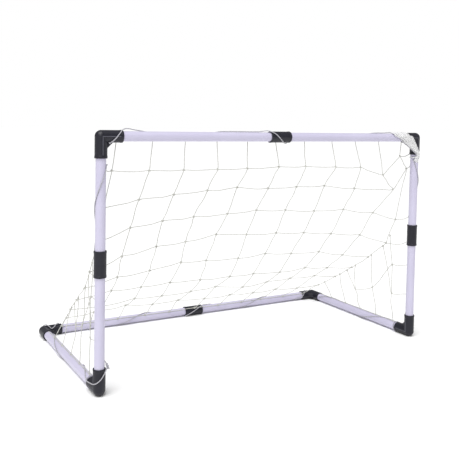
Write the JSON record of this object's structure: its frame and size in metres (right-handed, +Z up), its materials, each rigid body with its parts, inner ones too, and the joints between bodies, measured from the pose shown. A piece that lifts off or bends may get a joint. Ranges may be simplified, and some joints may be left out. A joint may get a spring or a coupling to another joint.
{
  "type": "lawn goal",
  "caption": "Small knock-down lawn goal: plastic tubes in moulded elbows and couplers, with a string net laced to the frame.",
  "frame": {"origin": "on the ground under the middle of the goal's outer box", "axes": "+Z up, +X across the mouth from the goal's left post to its right post as seen from the front, +Y from the mouth back to the rear bar"},
  "size_m": [0.9202, 0.4899, 0.5679],
  "materials": {
    "tube_plastic": "smooth extruded plastic tube, satin to gloss, pale lavender white",
    "fitting_plastic": "moulded near-black plastic, satin, faint blue cast",
    "lacing_cord": "twisted white cord, matte",
    "net_string": "thin knotted string net, off-white, matte"
  },
  "bodies": {
    "base_frame": {"post_upper_left": "tube_plastic", "post_upper_right": "tube_plastic", "post_lower_left": "tube_plastic", "post_lower_right": "tube_plastic", "post_coupler_left": "fitting_plastic", "post_coupler_right": "fitting_plastic", "side_tube_left": "tube_plastic", "side_tube_right": "tube_plastic", "front_elbow_left": "fitting_plastic", "front_elbow_right": "fitting_plastic", "net_back": "net_string", "net_side_left": "net_string", "net_side_right": "net_string", "lacing_post_left": "lacing_cord", "lacing_post_right": "lacing_cord", "lacing_side_left": "lacing_cord", "lacing_side_right": "lacing_cord", "net_tie_left": "lacing_cord", "net_tie_right": "lacing_cord"},
    "crossbar_unit": {"crossbar_tube_left": "tube_plastic", "crossbar_tube_right": "tube_plastic", "crossbar_coupler": "fitting_plastic", "top_elbow_left": "fitting_plastic", "top_elbow_right": "fitting_plastic", "lacing_crossbar": "lacing_cord"},
    "rear_bar_unit": {"rear_bar_tube_left": "tube_plastic", "rear_bar_tube_right": "tube_plastic", "rear_bar_coupler": "fitting_plastic", "rear_elbow_left": "fitting_plastic", "rear_elbow_right": "fitting_plastic", "lacing_rear_bar": "lacing_cord"}
  },
  "joints": [
    {"name": "crossbar_lift", "type": "slide", "parent": "base_frame", "child": "crossbar_unit", "axis": [0, 0, 1], "range_m": [0, 0.029]},
    {"name": "rear_bar_pull", "type": "slide", "parent": "base_frame", "child": "rear_bar_unit", "axis": [0, 1, 0], "range_m": [0, 0.029]}
  ]
}
